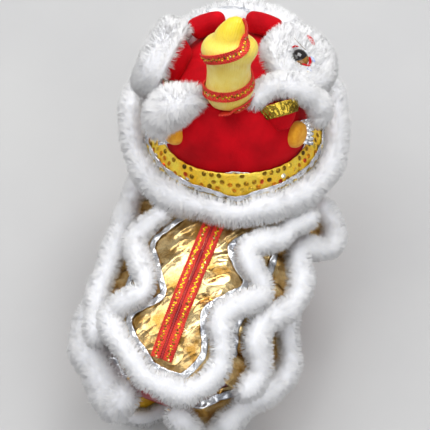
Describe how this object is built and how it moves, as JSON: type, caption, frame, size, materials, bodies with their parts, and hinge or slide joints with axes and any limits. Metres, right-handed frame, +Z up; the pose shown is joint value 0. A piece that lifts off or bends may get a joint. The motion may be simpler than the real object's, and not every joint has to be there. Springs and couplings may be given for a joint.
{
  "type": "lion dance costume",
  "caption": "Lion dance costume for a small dog, in its worn form: a padded lion hood with horn, eyes, ears and sequin ruff, and a tiered gold coat with fur-edged waves and hind leg sleeves.",
  "frame": {"origin": "base of the wearer's neck, inside the coat's neck opening, on the upright plane of the spine", "axes": "+Y the way the wearer faces along the spine, +Z up, +X to the wearer's right"},
  "size_m": [0.2612, 0.4015, 0.3532],
  "materials": {
    "red_velour": "short pile",
    "red_satin": "satin weave",
    "gold_lame": "metallic foil cloth",
    "yellow_lame": "metallic foil cloth",
    "yellow_plush": "short pile",
    "gold_sequin": "sequinned",
    "red_braid": "woven with gold sequins",
    "silver_tape": "metallic foil cloth",
    "gold_tape": "metallic foil cloth",
    "white_fur": "deep pile",
    "orange_felt": "felt",
    "black_resin": "gloss"
  },
  "bodies": {
    "root": {"hood_shell": "red_velour", "neck_ruff": "gold_sequin", "ruff_ribbon": "silver_tape", "ruff_fur": "white_fur", "brim_fur": "white_fur", "brow_roll_left": "red_velour", "brow_roll_right": "red_velour", "forehead_pad": "silver_tape", "horn": "yellow_plush", "horn_braid": "red_braid", "eye_backing_right": "red_velour", "eye_fur_right": "white_fur", "eye_right": "black_resin", "eye_backing_left": "red_velour", "eye_fur_left": "white_fur", "eye_left": "black_resin", "ear_right": "red_velour", "ear_tape_right": "gold_tape", "ear_left": "red_velour", "ear_tape_left": "gold_tape", "ear_fur_right": "white_fur", "ear_fur_left": "white_fur", "ear_lobe_right": "orange_felt", "ear_lobe_left": "orange_felt", "coat_body": "red_satin", "back_panel": "gold_lame", "back_fur": "white_fur", "back_ribbon": "silver_tape", "spine_braid_left": "red_braid", "spine_braid_right": "red_braid", "spine_zip": "red_satin", "flank_left": "gold_lame", "flank_fur_left": "white_fur", "flank_ribbon_left": "silver_tape", "flank_right": "gold_lame", "flank_fur_right": "white_fur", "flank_ribbon_right": "silver_tape", "hip_left": "gold_lame", "hip_fur_left": "white_fur", "hip_ribbon_left": "silver_tape", "hip_right": "gold_lame", "hip_fur_right": "white_fur", "hip_ribbon_right": "silver_tape", "sleeve_left": "yellow_lame", "cuff_fur_left": "white_fur", "sleeve_right": "yellow_lame", "cuff_fur_right": "white_fur"}
  },
  "joints": []
}
